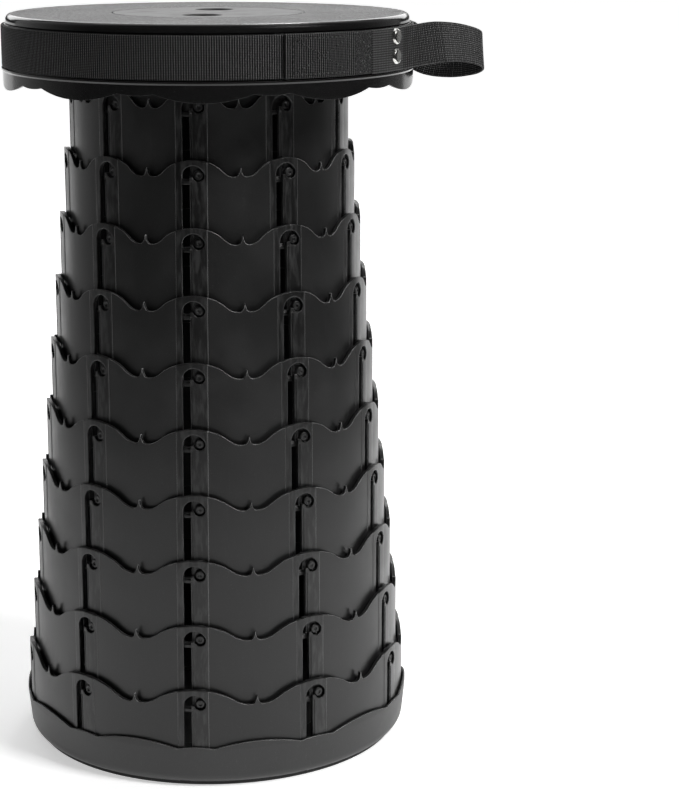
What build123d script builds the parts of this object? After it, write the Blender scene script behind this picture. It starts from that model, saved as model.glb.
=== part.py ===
"""Telescoping camp stool: ten nested scalloped rings, a base ring and a round seat.

Frame: origin on the floor at the stool's axis, +Z up, -Y towards the front. Millimetres.
The model stands at full height. Every ring slides straight down into the next larger one.
"""
from build123d import *
import os
from math import copysign, cos, degrees, radians, sin

os.makedirs("parts", exist_ok=True)

# ---- Driving dimensions -------------------------------------------------------------------

# Columns of lock tracks around the stool
column_count = 10
column_pitch = 360 / column_count
column_angle = -96.6            # polar angle of the column nearest the front

# Rings, numbered from the smallest at the top
ring_count = 10
ring_1_radius = 84.7            # outside
ring_step = 3.85                # growth in outside radius from ring to ring
ring_wall = 2.1
ring_height = 53.2              # bottom edge to crest
stage_pitch = 38.87             # crest to crest at full height
lowest_crest = 61.64            # crest of the largest ring above the floor

# Scalloped top edge, one wave per column
wave_depth = 9.9                # crest to the lowest point
crest_flat = 0.8                # half the width of the level top of each crest
crest_lead = 0.1                # the cut starts this much above the crest
crest_slope = 0.08
wave_knee = 0.456               # place of the middle of the slope, from the valley to the crest
tooth_drop = 4.6                # crest to the tip of the tooth in each valley
tooth_half = 3.6                # half the width of the tooth at its foot
tooth_level = 0.35              # where its side leaves the valley, as a share of that half width
tooth_turn = (0.15, 0.4)        # where its side turns up, as shares of the half width and height

# Guide rim and lock studs at the foot of each ring
rim_rise = 1.4
rim_height = 2.3                # just clear of the studs
rim_bevel = 0.5
stud_height = 5.5               # stud centre above the ring's bottom edge
stud_radius = 2.9
stud_length = 3.1
stud_round = 0.9
dimple_radius = 1.1             # blind hole in the head of each stud
dimple_depth = 0.7

# Lock track in each ring: a slot and a hooked pocket at its top
stud_shift = 3.3                # stud from the column's centre line, along the surface
slot_shift = -4.2
slot_width = 4.7
slot_foot = 3.0                 # lower end of the slot above the bottom edge
pocket_radius = 3.6
arch_radius = 6.65
arch_shift = 0.1
arch_drop = 0.9                 # arch centre below the stud centre
band_edge_rise = 0.25           # raised, slightly crowned band that stiffens the wall round the track
band_crown = 0.55
band_from = -10.2
band_to = 8.2
score_from = -1.6               # fine groove outside the wall, beside the slot
score_to = -0.5
score_depth = 0.6
score_top = 3.5                 # its upper end, below the stud centre
groove_width = 7.0              # relief inside the wall, in which the next ring's stud runs
groove_foot = 1.7
groove_floor = 0.4              # how far the relief stays inside the ring's outer face

# Base
floor_top = 8.0
base_foot_radius = 115.4
base_heel = (118.6, 4.9)        # radius and height half way up the rounded foot
base_shoulder = (119.9, 9.0)    # radius and height where the rounded foot meets the side
base_top_radius = 121.6
base_lip = 1.1                  # thickness of the rim
base_lip_depth = (1.0, 3.0)     # the rim ends and the full wall starts this far below the kinks
base_kink = 25.2                # height of the corners between the arched lobes of the rim
base_long = (11.6, 12.6, 29.3)  # lobe centre and half width in degrees from the front, and height
base_short = (-6.4, 5.4, 26.3)
base_inner_radius = 118.9
base_seat_radius = 120.05       # recess that holds the foot of the largest ring
base_seat_level = 19.5          # the largest ring stands here, on pads inside the wall
pad_inner_radius = 117.4
pad_outer_radius = 119.1
pad_centre = 11.4               # degrees from the front, between two columns
pad_span = 16.0
floor_inner_radius = 70.0
floor_thickness = 2.4
cover_radius = 111.6
cover_bottom = 2.4
cover_thickness = 2.0
foot_inner_radius = 103.0
foot_outer_radius = 114.9

# Seat
seat_top = 451.6
seat_flat_radius = 118.6        # edge of the flat top
seat_rim_radius = 121.8
cover_sheet = 2.2               # thickness of the seat cover
cover_lip = 1.8                 # thickness of its turned-down rim
plate_sheet = 2.2               # thickness of the plate below it
belt_wall = 1.4                 # thickness of the wall behind the belt
skirt_radius = 124.1
skirt_wall = 1.4
skirt_kink = 413.2
skirt_long = (-1.5, 13.0, 408.4)
skirt_short = (16.5, 5.0, 412.2)
ledge_top = 420.3
ledge_height = 1.0
ledge_radius = 124.9
collar_radius = ring_1_radius - ring_step
medallion_radius = 57.5
finger_hole_radius = 11.0
finger_hole_reach = 30.0        # from the axis
finger_hole_angle = 83.0        # polar angle of the line through both holes
finger_tube_wall = 1.5
finger_tube_depth = 8.0

# Webbing
webbing_width = 25.0
webbing_thick = 1.6
belt_bottom = 420.85
belt_inner_radius = 123.0
flap_span = (19.5, 40.4)        # degrees from the front
patch_span = (40.8, 47.2)
handle_front_span = (47.6, 66.0)
handle_rear_span = (101.0, 113.0)
handle_points = ((153.0, -11.0), (167.5, 4.5), (153.0, 19.0))   # the loop between its laps
rivet_angle = 58.9
rivet_radius = 4.7
rivet_heights = (429.6, 440.8)
rivet_post_radius = 1.5
rivet_cap_rise = 2.3
rivet_cap_round = 2.1
rivet_washer = (3.2, 0.8)       # radius and thickness of the washer inside the wall

# Small features
notch_angle = -10.0             # notches under the base, one per column
notch_width = 7.0
notch_depth = 3.0
notch_height = 1.0
cover_rib_span = (24.0, 98.0)
cover_rib_width = 2.4
cover_rib_rise = 0.6
foot_bevel = 0.5
rim_drop = 3.6                  # height of the rounded rim of the seat cover
lip_bevel = 0.6
finger_mouth_round = 1.8
rib_span = (46.0, 69.0)
rib_width = 1.8
rib_depth = 8.0
collar_flange = 2.2
collar_flange_inner = 70.0
screw_circle = 74.5
screw_radius = 1.5
screw_length = 4.2
screw_head_radius = 3.2
screw_head_height = 2.0
screw_head_chamfer = 0.6
screw_cross = (3.4, 0.8, 1.2)   # length, width and depth of the cross recess
locating_ring = (71.0, 74.0)    # ring on the base cover that meets the floor of the base
hub_ring = (23.0, 25.0)         # ring round the middle of the base cover
medallion_round = 0.5

fit_gap = 0.3                   # between a cover and the shell that it sits on
layer_gap = 0.1                 # between layers of webbing
cut_depth = 6.0                 # how far cutters reach either side of a wall
edge_overlap = 1.0              # how far neighbouring cutters run into each other


# ---- Shared construction ------------------------------------------------------------------

def polar(radius, angle):
    return radius * cos(radians(angle)), radius * sin(radians(angle))


def front_angle(angle):
    """Polar angle of a place given in degrees from the front, towards +X."""
    return angle - 90


def radial_plane(angle, radius):
    """Upright plane: local X runs anticlockwise, local Y is height, the normal points outward."""
    return Plane(
        origin=(*polar(radius, angle), 0),
        x_dir=(*polar(1, angle + 90), 0),
        z_dir=(*polar(1, angle), 0),
    )


def ring_radius(number):
    return ring_1_radius + ring_step * (number - 1)


def ring_crest(number):
    return lowest_crest + stage_pitch * (ring_count - number)


def ring_bottom(number):
    return base_seat_level if number == ring_count else ring_crest(number) - ring_height


def wave_cutter(radius, crest):
    """Trims one wave of the scalloped edge, from crest to crest, with the tooth in the valley."""
    half = radius * sin(radians(column_pitch / 2)) - crest_flat
    top = crest + edge_overlap
    low = crest - wave_depth
    with BuildPart() as cutter:
        with BuildSketch(radial_plane(column_angle + column_pitch / 2, radius - cut_depth)):
            with BuildLine():
                Spline(
                    (half, crest + crest_lead),
                    (half * wave_knee, crest - wave_depth / 2),
                    (tooth_half, low),
                    tangents=((-1, -crest_slope), (-1, 0)),
                )
                Bezier(
                    (tooth_half, low),
                    (tooth_half * tooth_level, low),
                    (tooth_half * tooth_turn[0], low + (wave_depth - tooth_drop) * tooth_turn[1]),
                    (0, crest - tooth_drop),
                )
                Polyline((half, crest + crest_lead), (half, top), (0, top))
                mirror(about=Plane.YZ)
            make_face()
        extrude(amount=2 * cut_depth)
    return cutter.part


def lobe_cutter(lobe, radius, kink, far):
    """Trims a rim along one arched lobe, and takes away everything from it to the far height."""
    centre, half_angle, crown = lobe
    half = radius * sin(radians(half_angle))
    beyond = kink + copysign(edge_overlap, far - kink)
    side = half + edge_overlap
    with BuildPart() as cutter:
        with BuildSketch(radial_plane(front_angle(centre), radius - cut_depth)):
            with BuildLine():
                ThreePointArc((-half, kink), (0, crown), (half, kink))
                Polyline(
                    (half, kink), (side, beyond), (side, far),
                    (-side, far), (-side, beyond), (-half, kink),
                )
            make_face()
        extrude(amount=2 * cut_depth)
    return cutter.part


def track_cutter(radius, bottom, stud_level):
    """The slot and hooked pocket that go right through a ring's wall."""
    with BuildPart() as cutter:
        with BuildSketch(radial_plane(column_angle, radius - cut_depth)):
            with Locations((arch_shift, stud_level - arch_drop)):
                Circle(arch_radius)
                Rectangle(
                    2 * arch_radius, arch_radius,
                    align=(Align.CENTER, Align.MAX), mode=Mode.SUBTRACT,
                )
            with Locations((stud_shift, stud_level)):
                Circle(pocket_radius)
            with Locations((slot_shift, bottom + slot_foot)):
                Rectangle(
                    slot_width, stud_level - bottom - slot_foot,
                    align=(Align.CENTER, Align.MIN),
                )
        extrude(amount=2 * cut_depth)
    return cutter.part


def score_cutter(radius, bottom, stud_level):
    """The fine groove outside the wall, beside the slot."""
    foot = bottom + slot_foot
    with BuildPart() as cutter:
        with BuildSketch(radial_plane(column_angle, radius + band_crown - score_depth)):
            with Locations(((score_from + score_to) / 2, foot)):
                Rectangle(
                    score_to - score_from, stud_level - score_top - foot,
                    align=(Align.CENTER, Align.MIN),
                )
        extrude(amount=cut_depth)
    return cutter.part


def groove_cutter(radius, foot, stud_level):
    """The relief inside a ring's wall, from its foot up to the pocket."""
    angle = column_angle + degrees(stud_shift / radius)
    with BuildPart() as cutter:
        with BuildSketch(radial_plane(angle, radius - cut_depth)):
            with Locations((0, foot)):
                Rectangle(groove_width, stud_level - foot, align=(Align.CENTER, Align.MIN))
        extrude(amount=cut_depth - groove_floor)
    return cutter.part


def lock_stud(radius, bottom, outer_radius):
    """One round stud on a ring, placed to stand in the pocket of the ring around it."""
    angle = column_angle + degrees(stud_shift / outer_radius)
    root = ring_wall / 4
    with BuildPart() as stud:
        with BuildSketch(radial_plane(angle, radius - root)):
            with Locations((0, bottom + stud_height)):
                Circle(stud_radius)
        extrude(amount=stud_length + root)
        head = stud.faces().filter_by(GeomType.PLANE).sort_by_distance((0, 0, bottom))[-1]
        fillet(head.edges(), radius=stud_round)
        with BuildSketch(radial_plane(angle, radius + stud_length)):
            with Locations((0, bottom + stud_height)):
                Circle(dimple_radius)
        extrude(amount=-dimple_depth, mode=Mode.SUBTRACT)
    return stud.part


def guide_rim(radius, bottom):
    """The bevelled rim round the foot of a ring, which guides it in the ring around it."""
    outer = radius + rim_rise
    top = bottom + rim_height
    with BuildPart() as rim:
        with BuildSketch(Plane.XZ):
            with BuildLine():
                Polyline(
                    (radius - ring_wall, bottom), (outer, bottom), (outer, top - rim_bevel),
                    (outer - rim_bevel, top), (radius - ring_wall, top), close=True,
                )
            make_face()
        revolve(axis=Axis.Z)
    return rim.part


def band_face(radius):
    """Plan of one raised band, as a wedge from the axis."""
    start = column_angle + degrees(band_from / radius)
    end = column_angle + degrees(band_to / radius)
    edge = radius + band_edge_rise
    with BuildSketch() as wedge:
        with BuildLine():
            crown = ThreePointArc(
                polar(edge, start), polar(radius + band_crown, (start + end) / 2), polar(edge, end),
            )
            Polyline(crown @ 1, (0, 0), crown @ 0)
        make_face()
    return wedge.sketch


def sector_face(inner, outer, middle, span):
    """Plan of a strip between two radii, centred on a polar angle."""
    with BuildSketch() as sector:
        with BuildLine():
            far = CenterArc((0, 0), outer, middle - span / 2, span)
            near = CenterArc((0, 0), inner, middle - span / 2, span)
            Line(far @ 0, near @ 0)
            Line(far @ 1, near @ 1)
        make_face()
    return sector.sketch


def belt_layer(inner, outer, span):
    """A strip of webbing lying on the belt, between two angles from the front."""
    middle = front_angle(sum(span) / 2)
    with BuildPart() as strip:
        with BuildSketch(Plane.XY.offset(belt_bottom)):
            add(sector_face(inner, outer, middle, span[1] - span[0]))
        extrude(amount=webbing_width)
    return strip.part


def rivet_holes():
    """The two post holes, through the wall and every layer of webbing."""
    with BuildPart() as holes:
        with BuildSketch(radial_plane(front_angle(rivet_angle), belt_inner_radius - cut_depth)):
            with Locations(*[(0, height) for height in rivet_heights]):
                Circle(rivet_post_radius + layer_gap)
        extrude(amount=2 * cut_depth)
    return holes.part


def finish(part, name):
    part.label = name
    export_step(part, f"parts/{name}.step")
    print(name, "solids", len(part.solids()), "volume", round(part.volume))


# ---- Rings ----------------------------------------------------------------------------------

for number in range(1, ring_count + 1):
    radius = ring_radius(number)
    bottom = ring_bottom(number)
    crest = ring_crest(number)
    stud_level = crest + stage_pitch - ring_height + stud_height
    is_lowest = number == ring_count
    groove_start = bottom - edge_overlap if is_lowest else bottom + groove_foot

    with BuildPart() as ring:
        with BuildSketch(Plane.XY.offset(bottom)):
            with PolarLocations(0, column_count):
                add(band_face(radius))
            Circle(radius)
            Circle(radius - ring_wall, mode=Mode.SUBTRACT)
        extrude(amount=crest - bottom)
        if not is_lowest:
            add(guide_rim(radius, bottom))
        with PolarLocations(0, column_count):
            add(track_cutter(radius, bottom, stud_level), mode=Mode.SUBTRACT)
            add(score_cutter(radius, bottom, stud_level), mode=Mode.SUBTRACT)
            add(groove_cutter(radius, groove_start, stud_level), mode=Mode.SUBTRACT)
        with PolarLocations(0, column_count):
            add(wave_cutter(radius, crest), mode=Mode.SUBTRACT)
        if not is_lowest:
            with PolarLocations(0, column_count):
                add(lock_stud(radius, bottom, radius + ring_step))
    finish(ring.part, f"ring_{number}")


# ---- Base -----------------------------------------------------------------------------------

base_head = base_long[2] + edge_overlap
lobe_head = base_head + edge_overlap
with BuildPart() as base_ring:
    with BuildSketch(Plane.XZ):
        with BuildLine():
            foot = Line((cover_radius + fit_gap, cover_bottom), (base_foot_radius, cover_bottom))
            heel = ThreePointArc(foot @ 1, base_heel, base_shoulder)
            side = Line(heel @ 1, (base_top_radius, base_kink))
            rim = Line(side @ 1, (base_top_radius, base_head))
            Polyline(
                rim @ 1,
                (base_top_radius - base_lip, base_head),
                (base_top_radius - base_lip, base_kink - base_lip_depth[0]),
                (base_seat_radius, base_kink - base_lip_depth[1]),
                (base_seat_radius, base_seat_level),
                (base_inner_radius, base_seat_level),
                (base_inner_radius, floor_top),
                (floor_inner_radius, floor_top),
                (floor_inner_radius, floor_top - floor_thickness),
                (cover_radius + fit_gap, floor_top - floor_thickness),
                foot @ 0,
            )
        make_face()
    revolve(axis=Axis.Z)
    with PolarLocations(0, column_count):
        add(lobe_cutter(base_long, base_top_radius, base_kink, lobe_head), mode=Mode.SUBTRACT)
        add(lobe_cutter(base_short, base_top_radius, base_kink, lobe_head), mode=Mode.SUBTRACT)
    with BuildSketch(Plane.XY.offset(floor_top)):
        with PolarLocations(0, column_count):
            add(sector_face(pad_inner_radius, pad_outer_radius, front_angle(pad_centre), pad_span))
    extrude(amount=base_seat_level - floor_top)
    with PolarLocations(base_foot_radius, column_count, start_angle=front_angle(notch_angle)):
        Box(2 * notch_depth, notch_width, 2 * notch_height + 2 * cover_bottom, mode=Mode.SUBTRACT)
finish(base_ring.part, "base_ring")

with BuildPart() as base_cover:
    with BuildSketch(Plane.XY.offset(cover_bottom)):
        Circle(cover_radius)
    extrude(amount=cover_thickness)
    with BuildSketch(Plane.XY.offset(cover_bottom + cover_thickness)):
        Circle(locating_ring[1])
        Circle(locating_ring[0], mode=Mode.SUBTRACT)
    extrude(amount=floor_top - floor_thickness - cover_bottom - cover_thickness)
    with BuildSketch(Plane.XY.offset(cover_bottom)):
        with PolarLocations((cover_rib_span[0] + cover_rib_span[1]) / 2, column_count):
            Rectangle(cover_rib_span[1] - cover_rib_span[0], cover_rib_width)
        Circle(hub_ring[1])
        Circle(hub_ring[0], mode=Mode.SUBTRACT)
    extrude(amount=-cover_rib_rise)
finish(base_cover.part, "base_cover")

with BuildPart() as foot_ring:
    with BuildSketch(Plane.XZ):
        with BuildLine():
            Polyline(
                (foot_inner_radius, cover_bottom), (foot_inner_radius, 0),
                (foot_outer_radius - foot_bevel, 0), (foot_outer_radius, foot_bevel),
                (foot_outer_radius, cover_bottom), close=True,
            )
        make_face()
    revolve(axis=Axis.Z)
finish(foot_ring.part, "foot_ring")


# ---- Seat -----------------------------------------------------------------------------------

cover_underside = seat_top - cover_sheet
plate_underside = cover_underside - plate_sheet
belt_top = belt_bottom + webbing_width
skirt_inner = skirt_radius - skirt_wall
skirt_bottom = skirt_long[2] - edge_overlap
lobe_foot = skirt_bottom - edge_overlap
belt_wall_radius = belt_inner_radius - fit_gap
belt_wall_inner = belt_wall_radius - belt_wall
cover_bore = medallion_radius + fit_gap
lip_bottom = belt_top + fit_gap
lip_inner = seat_rim_radius - cover_lip
neck_radius = lip_inner - layer_gap
shoulder_top = belt_top + layer_gap
finger_holes = [
    polar(finger_hole_reach, finger_hole_angle), polar(finger_hole_reach, finger_hole_angle + 180),
]

with BuildPart() as seat_cover:
    with BuildSketch(Plane.XZ):
        with BuildLine():
            flat = Line((cover_bore, seat_top), (seat_flat_radius, seat_top))
            edge = EllipticalCenterArc(
                (seat_flat_radius, seat_top - rim_drop),
                seat_rim_radius - seat_flat_radius, rim_drop, start_angle=0, arc_size=90,
            )
            Polyline(
                edge @ 0,
                (seat_rim_radius, lip_bottom + lip_bevel),
                (seat_rim_radius - lip_bevel, lip_bottom),
                (lip_inner, lip_bottom),
                (lip_inner, cover_underside),
                (cover_bore, cover_underside),
                flat @ 0,
            )
        make_face()
    revolve(axis=Axis.Z)
finish(seat_cover.part, "seat_cover")

with BuildPart() as seat_medallion:
    with BuildSketch(Plane.XY.offset(cover_underside)):
        Circle(medallion_radius)
    extrude(amount=cover_sheet)
    with BuildSketch(Plane.XY.offset(plate_underside - finger_tube_depth)):
        with Locations(*finger_holes):
            Circle(finger_hole_radius + finger_tube_wall)
    extrude(amount=cover_underside - plate_underside + finger_tube_depth)
    with BuildSketch(Plane.XY.offset(seat_top)):
        with Locations(*finger_holes):
            Circle(finger_hole_radius)
    extrude(amount=-2 * finger_tube_depth, mode=Mode.SUBTRACT)
    mouths = seat_medallion.faces().filter_by(Axis.Z).sort_by(Axis.Z)[-1].inner_wires()
    fillet(mouths.edges(), radius=finger_mouth_round)
    rim_edge = seat_medallion.faces().filter_by(Axis.Z).sort_by(Axis.Z)[-1].outer_wire()
    fillet(rim_edge.edges(), radius=medallion_round)
finish(seat_medallion.part, "seat_medallion")

with BuildPart() as seat_body:
    with BuildSketch(Plane.XZ):
        with BuildLine():
            Polyline(
                (0, cover_underside),
                (neck_radius, cover_underside),
                (neck_radius, shoulder_top),
                (belt_wall_radius, shoulder_top),
                (belt_wall_radius, ledge_top),
                (ledge_radius, ledge_top),
                (ledge_radius, ledge_top - ledge_height),
                (skirt_radius, ledge_top - 2 * ledge_height),
                (skirt_radius, skirt_bottom),
                (skirt_inner, skirt_bottom),
                (skirt_inner, ledge_top - 2 * ledge_height),
                (belt_wall_inner, ledge_top - ledge_height / 2),
                (belt_wall_inner, shoulder_top - belt_wall),
                (neck_radius - belt_wall, shoulder_top - belt_wall),
                (neck_radius - belt_wall, plate_underside),
                (0, plate_underside),
                close=True,
            )
        make_face()
    revolve(axis=Axis.Z)
    with BuildSketch(Plane.XY.offset(plate_underside)):
        with PolarLocations((rib_span[0] + rib_span[1]) / 2, column_count):
            Rectangle(rib_span[1] - rib_span[0], rib_width)
    extrude(amount=-rib_depth)
    with BuildSketch(Plane.XY.offset(cover_underside)):
        with Locations(*finger_holes):
            Circle(finger_hole_radius + finger_tube_wall + fit_gap)
        with PolarLocations(screw_circle, column_count, start_angle=column_pitch / 2):
            Circle(screw_radius + layer_gap)
    extrude(amount=-plate_sheet, mode=Mode.SUBTRACT)
    with PolarLocations(0, column_count):
        add(lobe_cutter(skirt_long, skirt_radius, skirt_kink, lobe_foot), mode=Mode.SUBTRACT)
        add(lobe_cutter(skirt_short, skirt_radius, skirt_kink, lobe_foot), mode=Mode.SUBTRACT)
    add(rivet_holes(), mode=Mode.SUBTRACT)
finish(seat_body.part, "seat_body")

collar_bottom = ring_crest(1) + stage_pitch - ring_height
with BuildPart() as seat_collar:
    with BuildSketch(Plane.XY.offset(collar_bottom)):
        Circle(collar_radius)
    extrude(amount=plate_underside - collar_bottom)
    with BuildSketch(Plane.XY.offset(collar_bottom)):
        Circle(collar_radius + rim_rise)
    extrude(amount=rim_height)
    with BuildSketch(Plane.XY.offset(collar_bottom)):
        Circle(collar_radius - ring_wall)
    extrude(amount=plate_underside - collar_flange - collar_bottom, mode=Mode.SUBTRACT)
    with BuildSketch(Plane.XY.offset(plate_underside)):
        Circle(collar_flange_inner)
        with PolarLocations(screw_circle, column_count, start_angle=column_pitch / 2):
            Circle(screw_radius + layer_gap)
    extrude(amount=-2 * collar_flange, mode=Mode.SUBTRACT)
    with PolarLocations(0, column_count):
        add(lock_stud(collar_radius, collar_bottom, ring_1_radius))
finish(seat_collar.part, "seat_collar")

with BuildPart() as collar_screws:
    with BuildSketch(Plane.XY.offset(plate_underside - collar_flange)):
        with PolarLocations(screw_circle, column_count, start_angle=column_pitch / 2):
            Circle(screw_radius)
    extrude(amount=screw_length)
    with BuildSketch(Plane.XY.offset(plate_underside - collar_flange)):
        with PolarLocations(screw_circle, column_count, start_angle=column_pitch / 2):
            Circle(screw_head_radius)
    extrude(amount=-screw_head_height)
    heads = collar_screws.faces().filter_by(Axis.Z).group_by(Axis.Z)[0]
    chamfer(heads.edges(), length=screw_head_chamfer)
    with BuildSketch(Plane.XY.offset(plate_underside - collar_flange - screw_head_height)):
        with PolarLocations(screw_circle, column_count, start_angle=column_pitch / 2):
            Rectangle(screw_cross[0], screw_cross[1])
            Rectangle(screw_cross[1], screw_cross[0])
    extrude(amount=screw_cross[2], mode=Mode.SUBTRACT)
finish(collar_screws.part, "collar_screws")


# ---- Webbing and its fittings -----------------------------------------------------------------

belt_outer_radius = belt_inner_radius + webbing_thick
layer_inner = belt_outer_radius + layer_gap
layer_outer = layer_inner + webbing_thick

with BuildPart() as belt:
    with BuildSketch(Plane.XY.offset(belt_bottom)):
        Circle(belt_outer_radius)
        Circle(belt_inner_radius, mode=Mode.SUBTRACT)
    extrude(amount=webbing_width)
    add(rivet_holes(), mode=Mode.SUBTRACT)
finish(belt.part, "belt")

belt_flap = belt_layer(layer_inner, layer_outer, flap_span)
finish(belt_flap, "belt_flap")

hook_patch = belt_layer(layer_inner, layer_outer, patch_span)
finish(hook_patch, "hook_patch")

with BuildPart() as handle_loop:
    with BuildSketch(Plane.XY.offset(belt_bottom)):
        with BuildLine():
            middle = layer_inner + webbing_thick / 2
            start, leave = (front_angle(angle) for angle in handle_front_span)
            meet, end = (front_angle(angle) for angle in handle_rear_span)
            front_lap = CenterArc((0, 0), middle, start, leave - start)
            rear_lap = CenterArc((0, 0), middle, meet, end - meet)
            Spline(
                front_lap @ 1, *handle_points, rear_lap @ 0,
                tangents=(front_lap % 1, rear_lap % 0),
            )
        trace(line_width=webbing_thick)
    extrude(amount=webbing_width)
    add(rivet_holes(), mode=Mode.SUBTRACT)
finish(handle_loop.part, "handle_loop")

with BuildPart() as rivets:
    with BuildSketch(radial_plane(front_angle(rivet_angle), belt_wall_inner - rivet_washer[1])):
        with Locations(*[(0, height) for height in rivet_heights]):
            Circle(rivet_post_radius)
    extrude(amount=layer_outer + fit_gap - belt_wall_inner + rivet_washer[1])
    with BuildSketch(radial_plane(front_angle(rivet_angle), layer_outer + layer_gap)):
        with Locations(*[(0, height) for height in rivet_heights]):
            Circle(rivet_radius)
    extrude(amount=rivet_cap_rise)
    outward = Axis((0, 0, 0), radial_plane(front_angle(rivet_angle), 0).z_dir)
    caps = rivets.faces().filter_by(GeomType.PLANE).sort_by(outward)[-2:]
    fillet(caps.edges(), radius=rivet_cap_round)
finish(rivets.part, "rivets")

with BuildPart() as rivet_washers:
    washer_inner = belt_wall_inner - rivet_washer[1] - layer_gap
    with BuildSketch(radial_plane(front_angle(rivet_angle), washer_inner)):
        with Locations(*[(0, height) for height in rivet_heights]):
            Circle(rivet_washer[0])
            Circle(rivet_post_radius + layer_gap / 2, mode=Mode.SUBTRACT)
    extrude(amount=rivet_washer[1])
finish(rivet_washers.part, "rivet_washers")
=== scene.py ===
import math

import bpy
import numpy as np
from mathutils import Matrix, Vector


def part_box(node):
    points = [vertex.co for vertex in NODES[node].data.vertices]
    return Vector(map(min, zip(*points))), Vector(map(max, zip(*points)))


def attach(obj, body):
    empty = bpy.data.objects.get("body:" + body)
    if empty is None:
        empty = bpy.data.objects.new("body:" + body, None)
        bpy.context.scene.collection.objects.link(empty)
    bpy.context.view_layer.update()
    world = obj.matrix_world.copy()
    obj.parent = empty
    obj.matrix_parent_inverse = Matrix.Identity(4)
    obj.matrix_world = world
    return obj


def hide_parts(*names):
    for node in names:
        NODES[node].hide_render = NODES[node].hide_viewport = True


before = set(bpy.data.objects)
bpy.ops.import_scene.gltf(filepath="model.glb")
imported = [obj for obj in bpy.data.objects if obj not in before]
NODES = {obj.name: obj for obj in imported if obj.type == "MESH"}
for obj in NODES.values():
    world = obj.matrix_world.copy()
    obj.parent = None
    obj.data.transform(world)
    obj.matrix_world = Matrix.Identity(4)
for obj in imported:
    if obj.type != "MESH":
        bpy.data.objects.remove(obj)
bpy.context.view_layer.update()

MM = 0.001

# ---- Sizes read from the frame ------------------------------------------------------------

BELT_LOW, BELT_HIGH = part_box("belt")
BELT_OUTER = BELT_HIGH.x
BELT_Z = (BELT_LOW.z + BELT_HIGH.z) / 2
WEB_WIDTH = BELT_HIGH.z - BELT_LOW.z
LOOP_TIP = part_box("handle_loop")[1].x
COVER_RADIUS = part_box("seat_cover")[1].x

# ---- Webbing sizes --------------------------------------------------------------------------

WEB_THICK = 1.6 * MM
LAYER_GAP = 0.1 * MM
BELT_MIDDLE = BELT_OUTER - WEB_THICK / 2 - LAYER_GAP      # middle radius of the belt
LAYER_RADIUS = BELT_OUTER + LAYER_GAP + WEB_THICK / 2     # middle radius of what is sewn on it
WANTED_RIB = 1.4 * MM
BELT_RIBS = round(2 * math.pi * BELT_MIDDLE / WANTED_RIB)
RIB_PITCH = 2 * math.pi * BELT_MIDDLE / BELT_RIBS
SAMPLES_PER_RIB = 5
BELT_WIDTH = LOOP_WIDTH = WEB_WIDTH - 0.2 * MM
FLAP_WIDTH, PATCH_WIDTH = WEB_WIDTH - 0.1 * MM, WEB_WIDTH - 1.0 * MM
BELT_CORE = PATCH_CORE = WEB_THICK - 0.5 * MM        # thickness under the ribs or the pile
FLAP_CORE, LOOP_CORE = WEB_THICK - 0.4 * MM, WEB_THICK - 0.35 * MM
FLAP_STEP, PATCH_STEP, LAP_STEP = 0.18 * MM, 0.35 * MM, 0.4 * MM     # between samples along each
WARP_PITCH = 0.9 * MM                # lengthwise yarns of the belt
HANDLE_WARP = 1.35 * MM              # lengthwise yarns of the carry loop
HANDLE_RIB = 1.6 * MM
HANDLE_RIBBED = (34 * MM, 80 * MM)   # the stretch of the loop with cross ribs, from its sewn end
RIB_FADE = 3 * MM                    # over which those ribs begin and end
BELT_RELIEF, FLAP_RELIEF, LOOP_RELIEF = 0.38 * MM, 0.34 * MM, 0.44 * MM     # height of the ribs
LAP_RELIEF = 0.20 * MM               # height of the fine lines where the loop is sewn down
FLAP_RAISED = 0.3 * MM               # how far the flap is sewn on above the belt's middle
FLAP_LIFT = 0.5 * MM                 # how far the flap's free end stands off the belt
PILE_HEIGHT = 0.6 * MM
STITCH_RADIUS, STITCH_LENGTH, STITCH_GAP = 0.42 * MM, 2.3 * MM, 0.4 * MM
STITCH_ENDS = (2.2, 1.6)             # degrees from the flap's two ends to the sewn box
STITCH_EDGES = (2.6 * MM, 2.4 * MM)  # from the flap's lower and upper edges to it
STITCH_STAND, STITCH_BOW = 0.25 * MM, 0.20 * MM      # height of its middle, and drop to its ends

# Places round the belt, in degrees from the front towards +X
FLAP_START, FLAP_END = 19.5, 40.4
PATCH_START, PATCH_END = 40.8, 47.2
HANDLE_START, HANDLE_LEAVES = 47.6, 61.5
HANDLE_RETURNS, HANDLE_END = 104.0, 113.0

# ---- Sizes of the moulded parts that the materials follow --------------------------------------

RIM_WIDTH = 3.2 * MM                 # rounded rim of the seat cover
RIM_BLEND = 0.4 * MM                 # over which the pebbles fade into it
MEDALLION_EDGE = (58.6 * MM, 59.0 * MM)        # radii over which they begin, outside the centre disc
COLUMN_COUNT = 10
COLUMN_ANGLE = -96.6                 # polar angle of the column of lock tracks nearest the front
BAND_FROM, BAND_TO = -10.2 * MM, 8.2 * MM      # edges of the raised band, from the tracks' column
BAND_EDGE = 0.25 * MM                # half the width over which its colour blends

# ---- Sizes of the stage, in metres where no unit is given -----------------------------------------

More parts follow.
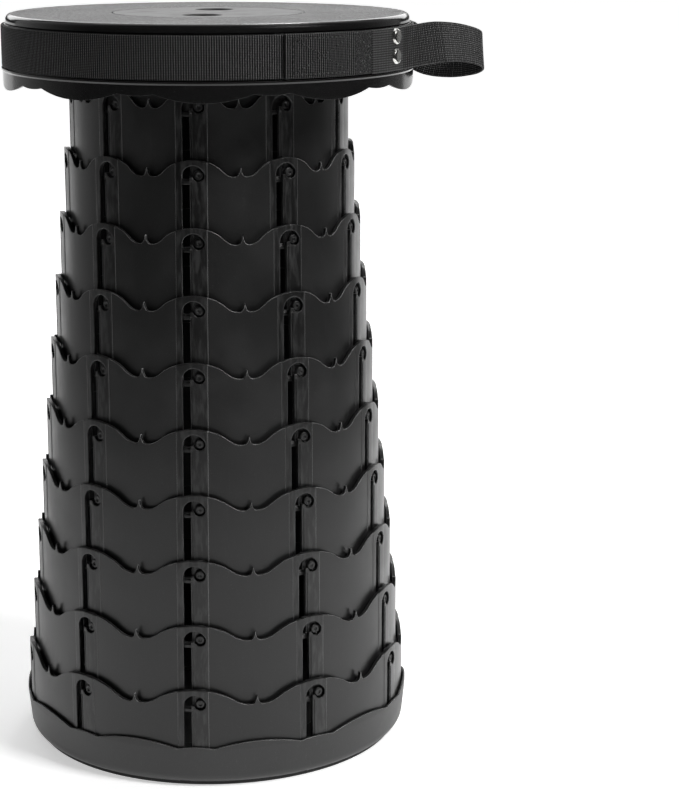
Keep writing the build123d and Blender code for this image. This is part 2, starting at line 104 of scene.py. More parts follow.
CAMERA_LENS, CAMERA_SENSOR = 98.285, 36        # mm
CAMERA_PLACE = (0, -1.32355, 0.52557)
CAMERA_PAN, CAMERA_PITCH = 0.0600, 0.2317      # radians, towards +X and down
FLOOR_X, FLOOR_Y = (-12, 12), (-12, 20)
FLOOR_GLOW = (0.7, 2.4)                        # distances over which the floor's glow grows
WALL_STEP = 5                                  # degrees between the uprights of a round wall
BACKDROP_RADIUS, BACKDROP_TOP = 11.0, 9.0
CARD_RADIUS, CARD_FOOT, CARD_TOP = 0.72, 0.004, 1.5
CARD_HALF_ANGLE = 130                          # degrees each side of the front
CARD_LEFT_GLOW, CARD_RIGHT_GLOW = (-60, -125), (85, 125)   # degrees, from dark to fully lit
SKY_TILT = 0.50                                # how far the bright part of the sky leans to the back
SKY_FADE = (0.10, 0.50)                        # where, going up, it begins and ends to dim


def on_circle(angle, radius, height):
    """The point at an angle in degrees from the front, towards +X."""
    turn = math.radians(angle)
    return Vector((radius * math.sin(turn), -radius * math.cos(turn), height))


# ---- Camera, lights and floor ---------------------------------------------------------------

SPAN_INPUTS = ("From Min", "From Max", "To Min", "To Max")      # sockets of a Map Range node


def make_camera():
    """The photograph's viewpoint, with no shift."""
    data = bpy.data.cameras.new("camera")
    data.lens = CAMERA_LENS
    data.sensor_width = CAMERA_SENSOR
    data.clip_end = 100
    camera = bpy.data.objects.new("camera", data)
    bpy.context.scene.collection.objects.link(camera)
    camera.location = CAMERA_PLACE
    level = math.cos(CAMERA_PITCH)
    aim = Vector((math.sin(CAMERA_PAN) * level, math.cos(CAMERA_PAN) * level, -math.sin(CAMERA_PITCH)))
    camera.rotation_euler = aim.to_track_quat("-Z", "Y").to_euler()
    bpy.context.scene.camera = camera


def area_light(name, place, target, width, height, power):
    """A soft light at a place, facing a target; sizes in metres and power in watts."""
    data = bpy.data.lights.new(name, "AREA")
    data.shape = "RECTANGLE"
    data.size = width
    data.size_y = height
    data.energy = power
    light = bpy.data.objects.new(name, data)
    bpy.context.scene.collection.objects.link(light)
    light.location = place
    light.rotation_euler = (Vector(target) - Vector(place)).to_track_quat("-Z", "Y").to_euler()


def make_world(horizon, overhead):
    """Blender's dim grey for a new world, at full strength round the horizon and behind the stool.

    It fades overhead and in front. horizon and overhead are the strengths at the two ends.
    """
    world = bpy.data.worlds.new("studio")
    bpy.context.scene.world = world
    world.use_nodes = True
    tree = world.node_tree
    split = tree.nodes.new("ShaderNodeSeparateXYZ")
    tree.links.new(tree.nodes.new("ShaderNodeTexCoord").outputs["Generated"], split.inputs[0])
    fade = tree.nodes.new("ShaderNodeMapRange")
    fade.interpolation_type = "SMOOTHSTEP"
    behind = tree.nodes.new("ShaderNodeMath")
    behind.operation = "MULTIPLY_ADD"
    tree.links.new(split.outputs[1], behind.inputs[0])
    behind.inputs[1].default_value = -SKY_TILT
    tree.links.new(split.outputs[2], behind.inputs[2])
    tree.links.new(behind.outputs[0], fade.inputs["Value"])
    for key, number in zip(SPAN_INPUTS, (*SKY_FADE, horizon, overhead)):
        fade.inputs[key].default_value = number
    tree.links.new(fade.outputs["Result"], tree.nodes["Background"].inputs["Strength"])


def mesh_object(name, points, faces):
    """A smooth-shaded mesh, linked to the scene."""
    mesh = bpy.data.meshes.new(name)
    mesh.from_pydata(points, [], faces)
    mesh.polygons.foreach_set("use_smooth", [True] * len(mesh.polygons))
    piece = bpy.data.objects.new(name, mesh)
    bpy.context.scene.collection.objects.link(piece)
    return piece


def grid_object(name, rows, closed_u=False, closed_v=False):
    """A mesh from rows of points; rows run along u and the points of a row along v."""
    rows = np.asarray(rows)
    count_u, count_v = rows.shape[:2]
    faces = []
    for i in range(count_u if closed_u else count_u - 1):
        for j in range(count_v if closed_v else count_v - 1):
            a, b = i * count_v + j, i * count_v + (j + 1) % count_v
            c, d = ((i + 1) % count_u) * count_v + (j + 1) % count_v, ((i + 1) % count_u) * count_v + j
            faces.append((a, b, c, d))
    if closed_v and not closed_u:
        faces.append(tuple(range(count_v))[::-1])
        faces.append(tuple((count_u - 1) * count_v + j for j in range(count_v)))
    return mesh_object(name, rows.reshape(-1, 3).tolist(), faces)


def make_floor(material):
    floor = grid_object("floor", [[(x, y, 0) for x in FLOOR_X] for y in FLOOR_Y])
    floor.data.materials.append(material)


def make_backdrop(material):
    """A pale wall far round the floor, left out of shadows, reflections and bounced light."""
    rows = [
        [(BACKDROP_RADIUS * math.sin(a), BACKDROP_RADIUS * math.cos(a), z) for z in (0, BACKDROP_TOP)]
        for a in np.radians(np.arange(0, 360 + WALL_STEP, WALL_STEP))
    ]
    backdrop = grid_object("backdrop", rows)
    backdrop.data.materials.append(material)
    backdrop.visible_shadow = False
    backdrop.visible_diffuse = False
    backdrop.visible_glossy = False


def make_card(material):
    """A curved card round the front and sides, dark in the middle, which only reflections see."""
    rows = [
        [(CARD_RADIUS * math.sin(a), -CARD_RADIUS * math.cos(a), z) for z in (CARD_FOOT, CARD_TOP)]
        for a in np.radians(np.arange(-CARD_HALF_ANGLE, CARD_HALF_ANGLE + WALL_STEP, WALL_STEP))
    ]
    card = grid_object("card", rows)
    card.data.materials.append(material)
    card.visible_camera = False
    card.visible_shadow = False
    card.visible_diffuse = False


# ---- Material building ------------------------------------------------------------------------

class Nodes:
    """A short way to write a node material."""

    def __init__(self, name):
        self.material = bpy.data.materials.new(name)
        self.material.use_nodes = True
        self.tree = self.material.node_tree
        self.shader = self.tree.nodes["Principled BSDF"]
        self.object_place = self.new("ShaderNodeTexCoord").outputs["Object"]

    def new(self, kind, **settings):
        node = self.tree.nodes.new(kind)
        for key, value in settings.items():
            setattr(node, key, value)
        return node

    def link(self, value, socket):
        if isinstance(value, bpy.types.NodeSocket):
            self.tree.links.new(value, socket)
        else:
            socket.default_value = value

    def math(self, operation, *values):
        node = self.new("ShaderNodeMath", operation=operation)
        for value, socket in zip(values, node.inputs):
            self.link(value, socket)
        return node.outputs[0]

    def parts(self, vector):
        """The three sockets of a vector's parts."""
        split = self.new("ShaderNodeSeparateXYZ")
        self.link(vector, split.inputs[0])
        return split.outputs

    def scaled(self, vector, scale):
        node = self.new("ShaderNodeVectorMath", operation="MULTIPLY")
        self.link(vector, node.inputs[0])
        node.inputs[1].default_value = scale
        return node.outputs[0]

    def noise(self, vector, scale, detail=3.0, roughness=0.5):
        node = self.new("ShaderNodeTexNoise")
        self.link(vector, node.inputs["Vector"])
        node.inputs["Scale"].default_value = scale
        node.inputs["Detail"].default_value = detail
        node.inputs["Roughness"].default_value = roughness
        return node.outputs["Fac"]

    def cells(self, vector, scale, feature="F1"):
        node = self.new("ShaderNodeTexVoronoi", feature=feature)
        self.link(vector, node.inputs["Vector"])
        node.inputs["Scale"].default_value = scale
        return node.outputs["Distance"]

    def span(self, value, low, high, to_low=0.0, to_high=1.0):
        node = self.new("ShaderNodeMapRange")
        node.interpolation_type = "SMOOTHSTEP"
        self.link(value, node.inputs["Value"])
        for key, number in zip(SPAN_INPUTS, (low, high, to_low, to_high)):
            self.link(number, node.inputs[key])
        return node.outputs["Result"]

    def mix(self, factor, first, second):
        node = self.new("ShaderNodeMix", data_type="RGBA")
        self.link(factor, node.inputs[0])
        self.link(first, node.inputs[6])
        self.link(second, node.inputs[7])
        return node.outputs[2]

    def axis_radius(self):
        """Distance from the stool's axis, in metres."""
        x, y, _ = self.parts(self.object_place)
        squared = self.math("ADD", self.math("POWER", x, 2.0), self.math("POWER", y, 2.0))
        return self.math("SQRT", squared)

    def edge(self, radius):
        """A rounded-edge normal, and how strongly the surface is an edge."""
        bevel = self.new("ShaderNodeBevel", samples=6)
        bevel.inputs["Radius"].default_value = radius
        geometry = self.new("ShaderNodeNewGeometry")
        dot = self.new("ShaderNodeVectorMath", operation="DOT_PRODUCT")
        self.link(bevel.outputs[0], dot.inputs[0])
        self.link(geometry.outputs["Normal"], dot.inputs[1])
        edge_wear_and_highlight = self.span(self.math("SUBTRACT", 1.0, dot.outputs["Value"]), 0.01, 0.25)
        return bevel.outputs[0], edge_wear_and_highlight

    def bump(self, height, distance, strength=1.0, normal=None):
        node = self.new("ShaderNodeBump")
        node.inputs["Strength"].default_value = strength
        node.inputs["Distance"].default_value = distance
        self.link(height, node.inputs["Height"])
        if normal is not None:
            self.link(normal, node.inputs["Normal"])
        return node.outputs[0]

    def finish(self, color, roughness, normal=None, **fixed):
        self.link(color, self.shader.inputs["Base Color"])
        self.link(roughness, self.shader.inputs["Roughness"])
        if normal is not None:
            self.link(normal, self.shader.inputs["Normal"])
        for key, value in fixed.items():
            self.shader.inputs[key.replace("_", " ")].default_value = value
        return self.material


def grey(level):
    return (level, level, level, 1.0)


def band_mask(n):
    """A mask of the raised band beside each lock track, and one of the band's thin edge lines, along
    which a highlight is painted.
    """
    x, y, _ = n.parts(n.object_place)
    turn = n.math("SUBTRACT", n.math("ARCTAN2", y, x), math.radians(COLUMN_ANGLE))
    half = math.pi / COLUMN_COUNT
    along = n.math("MULTIPLY", n.math("WRAP", turn, half, -half), n.axis_radius())
    inside = n.math(
        "MULTIPLY",
        n.span(along, BAND_FROM - BAND_EDGE, BAND_FROM + BAND_EDGE),
        n.span(along, BAND_TO + BAND_EDGE, BAND_TO - BAND_EDGE),
    )
    # Thin line at each band edge, used for a painted highlight
    line = n.math("MULTIPLY", n.math("MULTIPLY", inside, n.math("SUBTRACT", 1.0, inside)), 4.0)
    return inside, line


def moulded_plastic(name, level, roughness, scuffs=0.5, banded=False):
    """Satin black plastic: faint texture, long drag marks down the wall, dust, and pale edges that are
    partly wear and partly a painted highlight.

    level is the base colour. banded adds the mottled bands beside the lock tracks, with a painted
    highlight line along each band's edges.
    """
    n = Nodes(name)
    normal, edge_wear_and_highlight = n.edge(0.8 * MM)
    grain = n.noise(n.object_place, 2600, 3.0, 0.6)
    swell = n.noise(n.object_place, 60, 2.0)
    drag = n.noise(n.scaled(n.object_place, (1500, 1500, 25)), 1.0, 4.0, 0.65)
    marks = n.span(drag, 0.60, 0.74)
    patches = n.span(n.noise(n.object_place, 28, 4.0, 0.6), 0.35, 0.75)
    dust = n.span(n.noise(n.object_place, 1900, 2.0, 0.4), 0.66, 0.74)
    color = n.mix(patches, grey(level), grey(level * 1.35))
    color = n.mix(n.math("MULTIPLY", marks, 0.35 * scuffs), color, grey(level * 5))
    color = n.mix(n.math("MULTIPLY", dust, 0.25 * scuffs), color, grey(0.16))
    # Pale edges: partly wear, partly a painted highlight from the bevel edge mask
    color = n.mix(n.math("MULTIPLY", edge_wear_and_highlight, 0.75), color, grey(0.36))
    if banded:
        band, line = band_mask(n)
        streaks = n.noise(n.scaled(n.object_place, (420, 420, 90)), 1.0, 4.0, 0.6)
        mottled = n.mix(n.span(streaks, 0.42, 0.66), grey(0.002), grey(0.026))
        color = n.mix(n.math("MULTIPLY", band, 0.8), color, mottled)
        # Painted highlight along the band edges
        color = n.mix(n.math("MULTIPLY", line, 0.6), color, grey(0.07))
    rough = n.math("ADD", roughness, n.math("MULTIPLY", n.math("SUBTRACT", patches, 0.5), 0.10))
    rough = n.math("ADD", rough, n.math("MULTIPLY", marks, 0.12))
    rough = n.math("SUBTRACT", rough, n.math("MULTIPLY", edge_wear_and_highlight, 0.12))
    bumped = n.bump(swell, 0.10 * MM, 0.5, normal)
    bumped = n.bump(grain, 0.02 * MM, 0.6, bumped)
    return n.finish(color, rough, bumped)


def seat_cover_plastic():
    """Pebbled matt top inside a glossy rounded rim."""
    n = Nodes("seat_cover")
    normal, edge_wear_and_highlight = n.edge(0.3 * MM)
    radius = n.axis_radius()
    flat_edge = COVER_RADIUS - RIM_WIDTH
    on_top = n.math(
        "MULTIPLY",
        n.span(radius, flat_edge, flat_edge - RIM_BLEND),
        n.span(radius, *MEDALLION_EDGE),
    )
    warp = n.noise(n.object_place, 500, 2.0)
    shifted = n.new("ShaderNodeVectorMath", operation="ADD")
    n.link(n.object_place, shifted.inputs[0])
    n.link(n.scaled(warp, (0.5 * MM, 0.5 * MM, 0)), shifted.inputs[1])
    pebble = n.cells(shifted.outputs[0], 430, "SMOOTH_F1")
    fine = n.noise(n.object_place, 2000, 3.0)
    height = n.math("ADD", n.math("MULTIPLY", pebble, -1.0), n.math("MULTIPLY", fine, 0.25))
    height = n.math("MULTIPLY", height, on_top)
    broad = n.span(n.noise(n.object_place, 22, 4.0, 0.6), 0.35, 0.7)
    # Painted shade: the pebbles' valleys darkened
    pebble_valley_shade = n.math("MULTIPLY", n.span(pebble, 0.35, 0.75), on_top)
    color = n.mix(on_top, grey(0.006), n.mix(broad, grey(0.022), grey(0.034)))
    color = n.mix(n.math("MULTIPLY", pebble_valley_shade, 0.8), color, grey(0.006))
    # Painted highlight: the pebbles' peaks lighter and glossier
    pebble_peak_highlight = n.math("MULTIPLY", n.span(pebble, 0.30, 0.12), on_top)
    color = n.mix(n.math("MULTIPLY", pebble_peak_highlight, 0.7), color, grey(0.075))
    # Pale edges: partly wear, partly a painted highlight
    color = n.mix(n.math("MULTIPLY", edge_wear_and_highlight, 0.2), color, grey(0.08))
    rough = n.math("ADD", n.math("MULTIPLY", on_top, 0.34), 0.12)
    rough = n.math("SUBTRACT", rough, n.math("MULTIPLY", pebble_peak_highlight, 0.14))
    rough = n.math("ADD", rough, n.math("MULTIPLY", broad, 0.06))
    bumped = n.bump(height, 1.5 * MM, normal=normal)
    return n.finish(color, rough, bumped)


def glossy_plastic(name, level, roughness):
    """Polished black plastic with a soft orange peel, fine scratches and fingerprints."""
    n = Nodes(name)
    normal, edge_wear_and_highlight = n.edge(0.35 * MM)
    peel = n.noise(n.object_place, 240, 3.0, 0.5)
    smear = n.span(n.noise(n.object_place, 60, 4.0, 0.6), 0.4, 0.8)
    scratch = n.span(n.noise(n.scaled(n.object_place, (300, 2200, 2200)), 1.0, 3.0, 0.7), 0.66, 0.72)
    color = n.mix(n.math("MULTIPLY", scratch, 0.2), grey(level), grey(level * 6))
    # Pale edges: partly wear, partly a painted highlight
    color = n.mix(n.math("MULTIPLY", edge_wear_and_highlight, 0.3), color, grey(0.09))
    rough = n.math("ADD", roughness, n.math("MULTIPLY", smear, 0.10))
    rough = n.math("ADD", rough, n.math("MULTIPLY", scratch, 0.15))
    bumped = n.bump(peel, 0.05 * MM, 0.4, normal)
    return n.finish(color, rough, bumped)


def rubber():
    """Dull, speckled black rubber."""
    n = Nodes("foot_rubber")
    normal, edge_wear_and_highlight = n.edge(0.3 * MM)
    speck = n.noise(n.object_place, 900, 4.0, 0.6)
    color = n.mix(speck, grey(0.012), grey(0.028))
    # Pale edges: partly wear, partly a painted highlight
    color = n.mix(n.math("MULTIPLY", edge_wear_and_highlight, 0.3), color, grey(0.08))
    rough = n.math("ADD", 0.7, n.math("MULTIPLY", speck, 0.2))
    return n.finish(color, rough, n.bump(speck, 0.05 * MM, 0.8, normal))


def plated_steel(name, roughness):
    """Bright plating, a little stained and with faint turning marks."""
    n = Nodes(name)
    stain = n.span(n.noise(n.object_place, 500, 4.0, 0.6), 0.4, 0.75)
    turned = n.noise(n.scaled(n.object_place, (1, 1, 9)), 900, 2.0)
    color = n.mix(stain, (0.74, 0.74, 0.72, 1), (0.52, 0.52, 0.49, 1))
    rough = n.math("ADD", roughness, n.math("MULTIPLY", stain, 0.14))
    return n.finish(color, rough, n.bump(turned, 0.004 * MM, 0.4), Metallic=1.0)


def woven(name, level, warp_pitch, weft_pitch, rib_pitch, ribbed=None):
    """Webbing yarn over a strip's own length and width, which its UV map holds in metres.

    The colour goes from almost black between the ribs to grey on their crests: painted shade
    between the ribs and a painted highlight on the crests. ribbed is the stretch of the strip
    that has ribs, or None where all of it has.
    """
    n = Nodes(name)
    length, width, _ = n.parts(n.new("ShaderNodeUVMap", uv_map="strip").outputs[0])
    along = n.math("SINE", n.math("MULTIPLY", length, 2 * math.pi / weft_pitch))
    across = n.math("SINE", n.math("MULTIPLY", width, 2 * math.pi / warp_pitch))
    yarn = n.math("MULTIPLY", n.math("ADD", along, 1.4), n.math("ADD", across, 1.4))
    fibre = n.noise(n.object_place, 5200, 4.0, 0.7)
    hair = n.noise(n.object_place, 900, 3.0, 0.7)
    height = n.math("ADD", n.math("MULTIPLY", yarn, 0.28), n.math("MULTIPLY", fibre, 0.55))
    shade = n.math("ADD", n.math("MULTIPLY", yarn, 0.17), n.math("MULTIPLY", hair, 0.5))
    shade = n.span(shade, 0.15, 1.2)
    # Painted light: rib crests lit and the gaps between the ribs shaded in the colour, with painted
    # glints on the lit yarn
    crest = n.math("ABSOLUTE", n.math("SINE", n.math("MULTIPLY", length, math.pi / rib_pitch)))
    lit = n.span(crest, 0.55, 1.0)
    if ribbed:
        begun = n.span(length, ribbed[0], ribbed[0] + RIB_FADE)
        ended = n.span(length, ribbed[1], ribbed[1] + RIB_FADE)
        plain = n.math("SUBTRACT", 1.0, n.math("SUBTRACT", begun, ended))
        lit = n.math("MAXIMUM", lit, n.math("MULTIPLY", plain, 0.55))
    shade = n.math("MULTIPLY", shade, lit)
    glint = n.math("MULTIPLY", n.span(fibre, 0.60, 0.72), shade)
    lint = n.span(n.noise(n.object_place, 1300, 2.0, 0.4), 0.68, 0.76)
    color = n.mix(n.math("POWER", shade, 1.6), grey(level * 0.02), grey(level * 14.0))
    color = n.mix(n.math("MULTIPLY", glint, 0.8), color, grey(0.28))
    color = n.mix(n.math("MULTIPLY", lint, 0.15), color, grey(0.13))
    rough = n.math("ADD", 0.40, n.math("MULTIPLY", fibre, 0.3))
    return n.finish(
        color, rough, n.bump(height, 0.12 * MM),
        Sheen_Weight=0.05, Sheen_Roughness=0.5, Sheen_Tint=grey(0.5), Specular_IOR_Level=0.25,
    )


def thread():
    """Twisted black sewing thread."""
    n = Nodes("thread")
    twist = n.noise(n.object_place, 3800, 3.0, 0.6)
    rough = n.math("ADD", 0.45, n.math("MULTIPLY", twist, 0.2))
    color = n.mix(twist, grey(0.002), grey(0.010))
    return n.finish(color, rough, n.bump(twist, 0.05 * MM, 0.8))


def napped():
    """The short pile of hook and loop tape."""
    n = Nodes("hook_tape")
    pile = n.noise(n.object_place, 2400, 5.0, 0.75)
    tuft = n.cells(n.object_place, 1100)
    height = n.math("SUBTRACT", pile, n.math("MULTIPLY", tuft, 0.6))
    color = n.mix(n.span(pile, 0.45, 0.70), grey(0.001), grey(0.016))
    glint = n.span(n.noise(n.object_place, 1100, 3.0, 0.6), 0.60, 0.66)
    color = n.mix(n.math("MULTIPLY", glint, 0.7), color, grey(0.18))
    return n.finish(
        color, 0.9, n.bump(height, 0.8 * MM),
        Sheen_Weight=0.08, Sheen_Roughness=0.6, Specular_IOR_Level=0.25,
    )


def floor_paint(near, far):
    """A pale surface that glows, as a light table does, and more strongly far away."""
    n = Nodes("floor")
    mottle = n.noise(n.object_place, 9, 3.0)
    n.link(n.span(n.axis_radius(), *FLOOR_GLOW, near, far), n.shader.inputs["Emission Strength"])
    return n.finish(n.mix(mottle, grey(0.86), grey(0.88)), 0.7, Emission_Color=grey(1.0))


def card_cloth(left, right):
    """Black in front, and glowing towards the ends by the angle round the stool."""
    n = Nodes("card")
    x, y, _ = n.parts(n.object_place)
    turn = n.math("ARCTAN2", x, n.math("MULTIPLY", y, -1.0))
    lit_left = n.span(turn, *map(math.radians, CARD_LEFT_GLOW), 0.0, left)
    lit_right = n.span(turn, *map(math.radians, CARD_RIGHT_GLOW), 0.0, right)
    n.link(n.math("ADD", lit_left, lit_right), n.shader.inputs["Emission Strength"])
    return n.finish(
        n.mix(n.noise(n.object_place, 4), grey(0.006), grey(0.010)), 0.9, Emission_Color=grey(1.0),
    )


# ---- Webbing ------------------------------------------------------------------------------------

SELVAGE = 0.07                       # the part of a strip's half width that its rounded edge takes


def across_samples(count):
    """Places across a strip from -1 to 1, close together at the rounded selvages."""
    inner = np.linspace(SELVAGE - 1, 1 - SELVAGE, count)
    edge = 1 - np.array([0.0, 0.012, 0.035])
    return np.concatenate([-edge, inner, edge[::-1]])


def strip(name, middle, outward, up, width, thick, relief, count, closed=False):
    """A strip of webbing swept along its middle line. relief(s, v) raises both faces, in metres.

    middle, outward and up are arrays of points and unit vectors along the strip. count is how
    many points lie across each face, between the selvages.
    """
    steps = np.linalg.norm(np.diff(middle, axis=0), axis=1)
    along = np.concatenate([[0], np.cumsum(steps)])
    v = across_samples(count)
    over = np.clip((np.abs(v) - (1 - SELVAGE)) / SELVAGE, 0, 1)
    profile = np.sqrt(np.clip(1 - over ** 2, 0, 1))
    raised = relief(along[:, None], v[None, :] * width / 2) * profile[None, :]
    half = thick / 2 * profile[None, :] + raised
    base = middle[:, None, :] + up[:, None, :] * (v[None, :, None] * width / 2)
    front = base + outward[:, None, :] * half[:, :, None]
    back = base - outward[:, None, :] * half[:, :, None]
    rows = np.concatenate([front, back[:, -2:0:-1]], axis=1)
    piece = grid_object(name, rows, closed_u=closed, closed_v=True)
    v_all = np.concatenate([v, v[-2:0:-1]]) * width / 2
    uv_of = np.stack(np.broadcast_arrays(along[:, None], v_all[None, :]), axis=-1).reshape(-1, 2)
    layer = piece.data.uv_layers.new(name="strip")
    corners = np.zeros(len(piece.data.loops), dtype=np.int64)
    piece.data.loops.foreach_get("vertex_index", corners)
    layer.data.foreach_set("uv", uv_of[corners].ravel())
    return piece


def line_at(degrees, radius, height):
    """Middle line, outward and up vectors at the given angles round the stool."""
    turns = np.radians(degrees)
    outward = np.stack([np.sin(turns), -np.cos(turns), np.zeros(len(turns))], axis=1)
    middle = outward * radius + np.array([0, 0, height])
    up = np.tile([0.0, 0.0, 1.0], (len(turns), 1))
    return middle, outward, up


def arc_line(start, end, radius, height, spacing):
    """Middle line, outward and up vectors along an arc of the belt, by angles in degrees."""
    length = math.radians(end - start) * radius
    return line_at(np.linspace(start, end, int(length / spacing) + 1), radius, height)


def ribs(pitch, depth):
    """Round ribs across the strip, broken into short floats of yarn."""
    def relief(s, v):
        rib = np.abs(np.sin(np.pi * s / pitch)) ** 0.8
        yarn = 0.86 + 0.14 * np.cos(2 * np.pi * v / WARP_PITCH + np.pi * np.floor(s / pitch))
        return depth * rib * yarn
    return relief


def lengthwise(pitch, depth):
    """Fine ribs that run along the strip."""
    def relief(s, v):
        wave = 0.5 + 0.5 * np.cos(2 * np.pi * v / pitch)
        beat = 0.85 + 0.15 * np.sin(2 * np.pi * s / (2.2 * pitch) + np.pi * np.round(v / pitch))
        return depth * wave * beat
    return relief


def make_belt(material):
    """The webbing round the skirt, a closed ring with a whole number of ribs."""
    samples = SAMPLES_PER_RIB * BELT_RIBS
    line = line_at(np.arange(samples) * 360 / samples, BELT_MIDDLE, BELT_Z)
    belt = strip("belt_webbing", *line, BELT_WIDTH, BELT_CORE, ribs(RIB_PITCH, BELT_RELIEF),
                 count=11, closed=True)
    belt.data.materials.append(material)
    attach(belt, "seat")
    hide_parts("belt")


def make_flap(material):
    """The sewn end of the belt, which lies over it."""
    height = BELT_Z + FLAP_RAISED
    middle, outward, up = arc_line(FLAP_START, FLAP_END, LAYER_RADIUS, height, FLAP_STEP)
    lift = np.linspace(0, 1, len(middle)) ** 3 * FLAP_LIFT
    middle = middle + outward * lift[:, None]
    flap = strip("belt_flap_webbing", middle, outward, up, FLAP_WIDTH, FLAP_CORE,
                 ribs(RIB_PITCH, FLAP_RELIEF), count=25)
    flap.data.materials.append(material)
    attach(flap, "seat")
    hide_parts("belt_flap")


def make_patch(material):
    """A short strip of pile tape, its face roughened by a fixed pattern."""
    line = arc_line(PATCH_START, PATCH_END, LAYER_RADIUS, BELT_Z, PATCH_STEP)
    draws = np.random.default_rng(7)

    def tufts(s, v):
        return draws.uniform(0, PILE_HEIGHT, np.broadcast(s, v).shape)

    patch = strip("hook_patch_tape", *line, PATCH_WIDTH, PATCH_CORE, tufts, count=70)
    patch.data.materials.append(material)
    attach(patch, "seat")
    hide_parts("hook_patch")


def loop_stations():
    """Places along the free part of the carry loop, each with the strip's lean in degrees.

    They run from the rivets round the tip to the back of the seat.
    """
    leave = on_circle(HANDLE_LEAVES, LAYER_RADIUS, BELT_Z)
    back = on_circle(HANDLE_RETURNS, LAYER_RADIUS, BELT_Z)
    tip = LOOP_TIP - WEB_THICK / 2
    return [
        (leave, 0),
        (Vector((0.1240, -0.0370, BELT_Z + 0.0006)), 8),
        (Vector((0.1380, -0.0215, BELT_Z + 0.0012)), 18),
        (Vector((0.1520, -0.0110, BELT_Z)), 26),
        (Vector((tip - 0.0040, -0.0030, BELT_Z - 0.0030)), 30),
        (Vector((tip, 0.0050, BELT_Z - 0.0064)), 30),
        (Vector((tip - 0.0045, 0.0140, BELT_Z - 0.0100)), 30),
        (Vector((0.1500, 0.0205, BELT_Z - 0.0120)), 28),
        (Vector((0.1350, 0.0250, BELT_Z - 0.0094)), 15),
        (back, 0),
    ]


def smooth_path(points, per_span):
    """Points on a smooth curve through the given rows of numbers, per_span of them to a span."""
    points = np.asarray(points, float)
    ends = np.vstack([2 * points[0] - points[1], points, 2 * points[-1] - points[-2]])
    result = []
    for i in range(1, len(ends) - 2):
        p0, p1, p2, p3 = ends[i - 1:i + 3]
        for t in np.linspace(0, 1, per_span, endpoint=False):
            result.append(0.5 * (
                2 * p1 + (p2 - p0) * t + (2 * p0 - 5 * p1 + 4 * p2 - p3) * t ** 2
                + (3 * p1 - p0 - 3 * p2 + p3) * t ** 3
            ))
    result.append(points[-1])
    return np.array(result)


def handle_relief(ribbed_from, ribbed_to):
    """Lengthwise lines on the lap, cross ribs past the rivets, and smoother webbing from there on."""
    fine = lengthwise(HANDLE_WARP, LAP_RELIEF)
    across = ribs(HANDLE_RIB, LOOP_RELIEF)

    def relief(s, v):
        begun = np.clip((s - ribbed_from) / RIB_FADE, 0, 1)
        ended = np.clip((s - ribbed_to) / RIB_FADE, 0, 1)
        return fine(s, v) * (1 - begun + 0.3 * ended) + across(s, v) * begun * (1 - ended)
    return relief


def make_handle(material):
    """The carry loop, with an upright lap on the belt at each end."""
    front_lap = arc_line(HANDLE_START, HANDLE_LEAVES, LAYER_RADIUS, BELT_Z, LAP_STEP)[0][:-1]
    rear_lap = arc_line(HANDLE_RETURNS, HANDLE_END, LAYER_RADIUS, BELT_Z, LAP_STEP)[0][1:]
    curve = smooth_path([(*place, lean) for place, lean in loop_stations()], 60)
    middle = np.vstack([front_lap, curve[:, :3], rear_lap])
    lean = np.radians(np.pad(curve[:, 3], (len(front_lap), len(rear_lap))))
    tangent = np.gradient(middle, axis=0)
    tangent /= np.linalg.norm(tangent, axis=1)[:, None]
    leaning = np.stack([np.zeros(len(lean)), np.sin(lean), np.cos(lean)], axis=1)
    up = leaning - (leaning * tangent).sum(1)[:, None] * tangent
    up /= np.linalg.norm(up, axis=1)[:, None]
    outward = np.cross(tangent, up)
    handle = strip("handle_webbing", middle, outward, up, LOOP_WIDTH, LOOP_CORE,
                   handle_relief(*HANDLE_RIBBED), count=61)
    handle.data.materials.append(material)
    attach(handle, "seat")
    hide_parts("handle_loop")


def stitch_mesh(name, lines):
    """Short raised stitches along lines whose ends are (distance round the belt, height)."""
    points, faces = [], []
    sides, rings = 6, 5
    for start, end in lines:
        start, end = Vector(start), Vector(end)
        span = (end - start).length
        count = int(span / (STITCH_LENGTH + STITCH_GAP))
        direction = (end - start).normalized()
        for k in range(count):
            centre = start + direction * ((k + 0.5) * span / count)
            first = len(points)
            for i in range(rings):
                t = -1 + 2 * i / (rings - 1)
                size = STITCH_RADIUS * math.sqrt(max(0.12, 1 - t * t))
                spot = centre + direction * (t * STITCH_LENGTH / 2)
                turn = spot.x / LAYER_RADIUS
                out = Vector((math.sin(turn), -math.cos(turn), 0))
                across = -direction.y
                side = Vector((across * math.cos(turn), across * math.sin(turn), direction.x))
                base = out * (LAYER_RADIUS + WEB_THICK / 2 + STITCH_STAND - STITCH_BOW * t * t)
                base.z = spot.y
                for j in range(sides):
                    angle = 2 * math.pi * j / sides
                    points.append(base + size * (side * math.cos(angle) + out * math.sin(angle)))
            for i in range(rings - 1):
                for j in range(sides):
                    a, b = first + i * sides + j, first + i * sides + (j + 1) % sides
                    faces.append((a, b, b + sides, a + sides))
            faces.append(tuple(first + j for j in range(sides))[::-1])
            faces.append(tuple(first + (rings - 1) * sides + j for j in range(sides)))
    return mesh_object(name, [tuple(p) for p in points], faces)


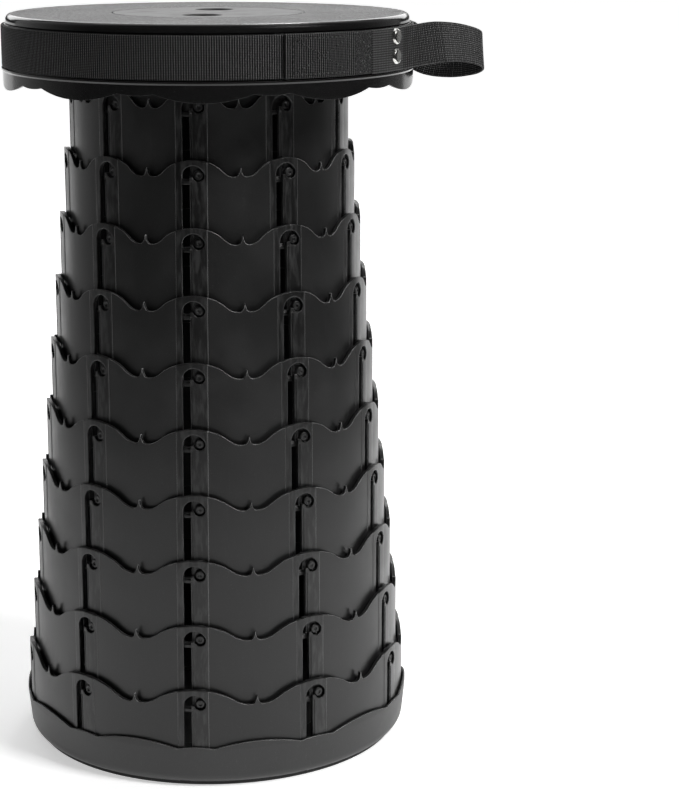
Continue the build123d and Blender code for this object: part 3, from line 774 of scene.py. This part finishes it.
def make_stitching(material):
    """A box with a cross in it, sewn on the flap."""
    left = math.radians(FLAP_START + STITCH_ENDS[0]) * LAYER_RADIUS
    right = math.radians(FLAP_END - STITCH_ENDS[1]) * LAYER_RADIUS
    low = BELT_Z - WEB_WIDTH / 2 + STITCH_EDGES[0]
    high = BELT_Z + WEB_WIDTH / 2 - STITCH_EDGES[1]
    box = [(left, low), (right, low), (right, high), (left, high)]
    lines = [(box[i], box[(i + 1) % 4]) for i in range(4)] + [(box[0], box[2]), (box[1], box[3])]
    stitches = stitch_mesh("flap_stitching", lines)
    stitches.data.materials.append(material)
    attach(stitches, "seat")


# ---- Finishing the CAD nodes ------------------------------------------------------------------

def dress(node, material):
    """Give a CAD node its only material."""
    piece = NODES[node]
    piece.data.materials.clear()
    piece.data.materials.append(material)


def dress_cad():
    """Give every CAD node that still shows its material."""
    ring_plastic = moulded_plastic("ring_plastic", 0.0085, 0.36, banded=True)
    for name in NODES:
        if name.startswith("ring_"):
            dress(name, ring_plastic)
    dress("seat_collar", ring_plastic)
    base_plastic = moulded_plastic("base_plastic", 0.020, 0.46, scuffs=0.8)
    dress("base_ring", base_plastic)
    dress("base_cover", base_plastic)
    dress("foot_ring", rubber())
    dress("seat_cover", seat_cover_plastic())
    dress("seat_medallion", glossy_plastic("medallion", 0.016, 0.46))
    dress("seat_body", glossy_plastic("seat_body", 0.006, 0.16))
    dress("collar_screws", plated_steel("screw_steel", 0.35))
    nickel = plated_steel("rivet_nickel", 0.16)
    dress("rivets", nickel)
    dress("rivet_washers", nickel)


# ---- The scene ------------------------------------------------------------------------------------

bpy.context.scene.view_settings.view_transform = "Standard"
make_camera()
make_world(horizon=1.0, overhead=0.22)
paper = floor_paint(near=0.52, far=0.98)
make_floor(paper)
make_backdrop(paper)
make_card(card_cloth(left=0.40, right=0.22))
area_light("key", (1.70, -1.15, 2.10), (0, 0, 0.25), 0.8, 0.8, 64)
area_light("top_soft", (0.20, 0.60, 1.90), (0, 0, 0.20), 2.2, 1.6, 10)
area_light("back_sky", (0, 2.30, 1.25), (0, 0, 0.45), 3.2, 1.1, 23)
area_light("back_glint", (0.32, 1.50, 2.00), (0, 0, 0.44), 0.30, 0.30, 6)

dress_cad()
grosgrain = woven("grosgrain", 0.012, WARP_PITCH, 0.7 * MM, RIB_PITCH)
tape = woven("plain_webbing", 0.011, HANDLE_WARP, 1.0 * MM, HANDLE_RIB, HANDLE_RIBBED)
make_belt(grosgrain)
make_flap(grosgrain)
make_patch(napped())
make_handle(tape)
make_stitching(thread())
